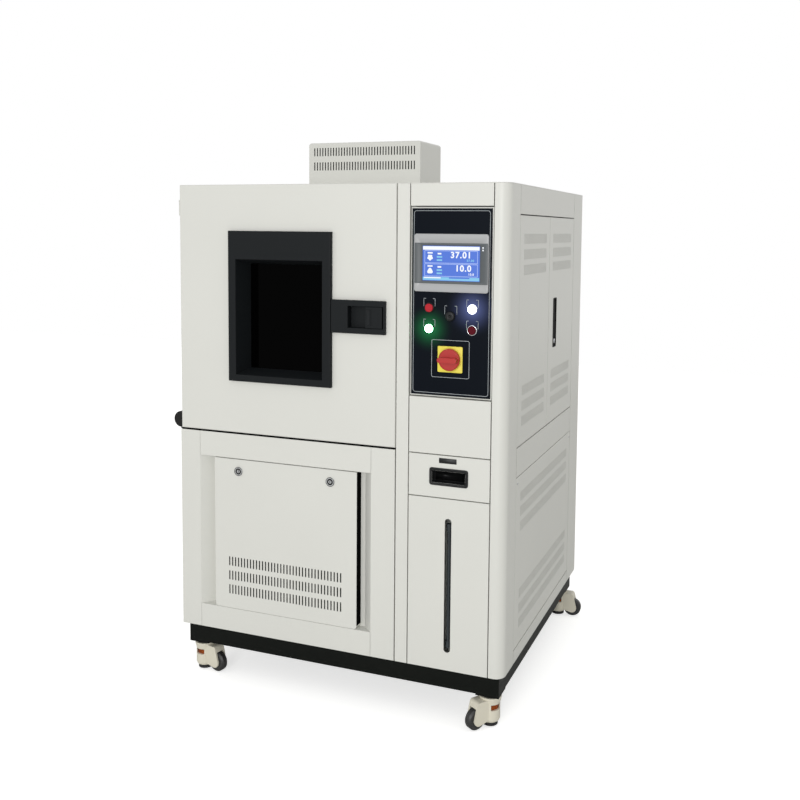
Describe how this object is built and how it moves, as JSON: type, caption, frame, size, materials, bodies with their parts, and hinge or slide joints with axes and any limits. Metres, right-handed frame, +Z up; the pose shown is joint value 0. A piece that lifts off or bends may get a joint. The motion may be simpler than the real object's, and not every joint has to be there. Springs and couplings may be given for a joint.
{
  "type": "temperature and humidity test chamber",
  "caption": "Free-standing climatic test chamber with an insulated window door, control column, water drawer, vented side doors and levelling casters.",
  "frame": {"origin": "on the floor under the middle of the cabinet's width, midway between the switch knob's front and the cabinet's rear", "axes": "+X to the right seen from the front, +Y to the back, +Z up"},
  "size_m": [1.1358, 0.9894, 1.737],
  "materials": {
    "cabinet_paint": "ivory powder coat, slight orange peel",
    "base_paint": "matt black enamel",
    "control_panel_film": "satin navy black plate",
    "display_plastic": "silver moulded bezel",
    "black_plastic": "matt black moulding",
    "button_red": "translucent red cap",
    "button_green": "translucent green cap",
    "button_white": "translucent white cap",
    "button_dark_red": "dark red cap",
    "switch_red": "red moulded handle",
    "stainless": "brushed stainless sheet",
    "hinge_black": "black die-cast hinge",
    "insulation": "rigid foam",
    "window_pane": "heated dark glass panes",
    "gasket_rubber": "silicone seal",
    "tank_plastic": "natural polyethylene",
    "gauge_tube": "clear tube",
    "motor_paint": "grey machine enamel",
    "switchgear": "moulded switchgear on a plate",
    "caster_nylon": "ivory cast housing",
    "wheel_nylon": "dark grey nylon tread",
    "thumbwheel_plating": "copper-coloured adjusting ring",
    "foot_rubber": "black pad on a steel screw"
  },
  "bodies": {
    "cabinet": {"base_frame": "base_paint", "left_side_panel": "cabinet_paint", "rear_panel": "cabinet_paint", "top_panel": "cabinet_paint", "posts_and_rails": "cabinet_paint", "side_service_panel": "cabinet_paint", "column_front": "cabinet_paint", "control_panel": "control_panel_film", "touch_display": "display_plastic", "panel_fittings": "black_plastic", "lower_front_frame": "cabinet_paint", "chamber_liner": "stainless", "chamber_insulation": "insulation", "specimen_shelf": "stainless", "hinge_brackets": "hinge_black", "inner_frame": "cabinet_paint", "water_tank": "tank_plastic", "sight_tube": "gauge_tube", "motor_cover": "cabinet_paint", "circulation_motor": "motor_paint", "refrigeration_unit": "motor_paint", "electrical_plate": "switchgear"},
    "door": {"door_skin": "cabinet_paint", "door_inner_pan": "stainless", "window_frame": "black_plastic", "window_glass": "window_pane", "door_gasket": "gasket_rubber", "hinge_knuckles": "hinge_black", "latch_housing": "black_plastic"},
    "latch": {"latch_paddle": "black_plastic"},
    "cover": {"lower_cover": "cabinet_paint"},
    "left_lock": {"cover_lock_left": "stainless"},
    "right_lock": {"cover_lock_right": "stainless"},
    "front_side_door": {"side_door_front": "cabinet_paint"},
    "rear_side_door": {"side_door_rear": "cabinet_paint"},
    "side_handle": {"side_handle": "black_plastic"},
    "drawer": {"water_drawer": "cabinet_paint"},
    "stop": {"stop_button": "button_red"},
    "start": {"start_button": "button_green"},
    "light": {"light_button": "button_white"},
    "reset": {"reset_button": "button_dark_red"},
    "switch": {"switch_knob": "switch_red"},
    "impeller": {"circulation_impeller": "stainless"},
    "condenser_fan": {"condenser_fan": "black_plastic"},
    "housing_front_left": {"caster_housing_front_left": "caster_nylon"},
    "wheel_front_left": {"caster_wheel_front_left": "wheel_nylon"},
    "thumbwheel_front_left": {"caster_thumbwheel_front_left": "thumbwheel_plating"},
    "foot_front_left": {"levelling_foot_front_left": "foot_rubber"},
    "housing_front_right": {"caster_housing_front_right": "caster_nylon"},
    "wheel_front_right": {"caster_wheel_front_right": "wheel_nylon"},
    "thumbwheel_front_right": {"caster_thumbwheel_front_right": "thumbwheel_plating"},
    "foot_front_right": {"levelling_foot_front_right": "foot_rubber"},
    "housing_rear_right": {"caster_housing_rear_right": "caster_nylon"},
    "wheel_rear_right": {"caster_wheel_rear_right": "wheel_nylon"},
    "thumbwheel_rear_right": {"caster_thumbwheel_rear_right": "thumbwheel_plating"},
    "foot_rear_right": {"levelling_foot_rear_right": "foot_rubber"},
    "housing_rear_left": {"caster_housing_rear_left": "caster_nylon"},
    "wheel_rear_left": {"caster_wheel_rear_left": "wheel_nylon"},
    "thumbwheel_rear_left": {"caster_thumbwheel_rear_left": "thumbwheel_plating"},
    "foot_rear_left": {"levelling_foot_rear_left": "foot_rubber"}
  },
  "joints": [
    {"name": "door_hinge", "type": "hinge", "parent": "cabinet", "child": "door", "pos_m": [-0.541, -0.44735, 0.797], "axis": [0, 0, -1], "range_deg": [0, 120]},
    {"name": "latch_hinge", "type": "hinge", "parent": "door", "child": "latch", "pos_m": [0.16, -0.47535, 1.174], "axis": [0, 0, 1], "range_deg": [0, 30]},
    {"name": "cover_slide", "type": "slide", "parent": "cabinet", "child": "cover", "axis": [0, -1, 0], "range_m": [0, 0.25]},
    {"name": "left_lock_turn", "type": "hinge", "parent": "cover", "child": "left_lock", "pos_m": [-0.326, -0.46335, 0.675], "axis": [0, -1, 0], "range_deg": [0, 90]},
    {"name": "right_lock_turn", "type": "hinge", "parent": "cover", "child": "right_lock", "pos_m": [-0.009, -0.46335, 0.675], "axis": [0, 1, 0], "range_deg": [0, 90]},
    {"name": "drawer_slide", "type": "slide", "parent": "cabinet", "child": "drawer", "axis": [0, -1, 0], "range_m": [0, 0.18]},
    {"name": "front_side_door_hinge", "type": "hinge", "parent": "cabinet", "child": "front_side_door", "pos_m": [0.53, -0.35035, 0.803], "axis": [0, 0, -1], "range_deg": [0, 105]},
    {"name": "rear_side_door_hinge", "type": "hinge", "parent": "cabinet", "child": "rear_side_door", "pos_m": [0.53, 0.34765, 0.803], "axis": [0, 0, 1], "range_deg": [0, 105]},
    {"name": "side_handle_hinge", "type": "hinge", "parent": "rear_side_door", "child": "side_handle", "pos_m": [0.532, 0.08215, 1.199], "axis": [0, -1, 0], "range_deg": [0, 35]},
    {"name": "stop_press", "type": "slide", "parent": "cabinet", "child": "stop", "axis": [0, 1, 0], "range_m": [0, 0.003], "stiffness_N_per_m": 400},
    {"name": "start_press", "type": "slide", "parent": "cabinet", "child": "start", "axis": [0, 1, 0], "range_m": [0, 0.003], "stiffness_N_per_m": 400},
    {"name": "light_press", "type": "slide", "parent": "cabinet", "child": "light", "axis": [0, 1, 0], "range_m": [0, 0.003], "stiffness_N_per_m": 400},
    {"name": "reset_press", "type": "slide", "parent": "cabinet", "child": "reset", "axis": [0, 1, 0], "range_m": [0, 0.003], "stiffness_N_per_m": 400},
    {"name": "switch_turn", "type": "hinge", "parent": "cabinet", "child": "switch", "pos_m": [0.3665, -0.46335, 1.065], "axis": [0, 1, 0], "range_deg": [0, 90]},
    {"name": "impeller_spin", "type": "hinge", "parent": "cabinet", "child": "impeller", "pos_m": [-0.172, 0.21565, 1.56], "axis": [0, 0, 1], "continuous": true},
    {"name": "condenser_fan_spin", "type": "hinge", "parent": "cabinet", "child": "condenser_fan", "pos_m": [-0.17025, -0.32035, 0.376], "axis": [0, 1, 0], "continuous": true},
    {"name": "swivel_front_left", "type": "hinge", "parent": "cabinet", "child": "housing_front_left", "pos_m": [-0.485, -0.41535, 0.1], "axis": [0, 0, 1], "continuous": true},
    {"name": "wheel_spin_front_left", "type": "hinge", "parent": "housing_front_left", "child": "wheel_front_left", "pos_m": [-0.43182, -0.42473, 0.0315], "axis": [0.1736, 0.9848, 0], "continuous": true},
    {"name": "thumbwheel_turn_front_left", "type": "hinge", "parent": "housing_front_left", "child": "thumbwheel_front_left", "pos_m": [-0.485, -0.41535, 0.0515], "axis": [0, 0, 1], "range_deg": [0, 720]},
    {"name": "foot_lower_front_left", "type": "slide", "parent": "housing_front_left", "child": "foot_front_left", "axis": [0, 0, -1], "range_m": [0, 0.004]},
    {"name": "swivel_front_right", "type": "hinge", "parent": "cabinet", "child": "housing_front_right", "pos_m": [0.485, -0.41535, 0.1], "axis": [0, 0, 1], "continuous": true},
    {"name": "wheel_spin_front_right", "type": "hinge", "parent": "housing_front_right", "child": "wheel_front_right", "pos_m": [0.45403, -0.45958, 0.0315], "axis": [0.8192, -0.5736, 0], "continuous": true},
    {"name": "thumbwheel_turn_front_right", "type": "hinge", "parent": "housing_front_right", "child": "thumbwheel_front_right", "pos_m": [0.485, -0.41535, 0.0515], "axis": [0, 0, 1], "range_deg": [0, 720]},
    {"name": "foot_lower_front_right", "type": "slide", "parent": "housing_front_right", "child": "foot_front_right", "axis": [0, 0, -1], "range_m": [0, 0.004]},
    {"name": "swivel_rear_right", "type": "hinge", "parent": "cabinet", "child": "housing_rear_right", "pos_m": [0.485, 0.44465, 0.1], "axis": [0, 0, 1], "continuous": true},
    {"name": "wheel_spin_rear_right", "type": "hinge", "parent": "housing_rear_right", "child": "wheel_rear_right", "pos_m": [0.5388, 0.44936, 0.0315], "axis": [-0.0872, 0.9962, 0], "continuous": true},
    {"name": "thumbwheel_turn_rear_right", "type": "hinge", "parent": "housing_rear_right", "child": "thumbwheel_rear_right", "pos_m": [0.485, 0.44465, 0.0515], "axis": [0, 0, 1], "range_deg": [0, 720]},
    {"name": "foot_lower_rear_right", "type": "slide", "parent": "housing_rear_right", "child": "foot_rear_right", "axis": [0, 0, -1], "range_m": [0, 0.004]},
    {"name": "swivel_rear_left", "type": "hinge", "parent": "cabinet", "child": "housing_rear_left", "pos_m": [-0.485, 0.44465, 0.1], "axis": [0, 0, 1], "continuous": true},
    {"name": "wheel_spin_rear_left", "type": "hinge", "parent": "housing_rear_left", "child": "wheel_rear_left", "pos_m": [-0.458, 0.39788, 0.0315], "axis": [0.866, 0.5, 0], "continuous": true},
    {"name": "thumbwheel_turn_rear_left", "type": "hinge", "parent": "housing_rear_left", "child": "thumbwheel_rear_left", "pos_m": [-0.485, 0.44465, 0.0515], "axis": [0, 0, 1], "range_deg": [0, 720]},
    {"name": "foot_lower_rear_left", "type": "slide", "parent": "housing_rear_left", "child": "foot_rear_left", "axis": [0, 0, -1], "range_m": [0, 0.004]}
  ],
  "couplings": [
    {"joint": "foot_lower_front_left", "follows": "thumbwheel_turn_front_left", "m_per_rad": 0.00031831},
    {"joint": "foot_lower_front_right", "follows": "thumbwheel_turn_front_right", "m_per_rad": 0.00031831},
    {"joint": "foot_lower_rear_right", "follows": "thumbwheel_turn_rear_right", "m_per_rad": 0.00031831},
    {"joint": "foot_lower_rear_left", "follows": "thumbwheel_turn_rear_left", "m_per_rad": 0.00031831}
  ]
}
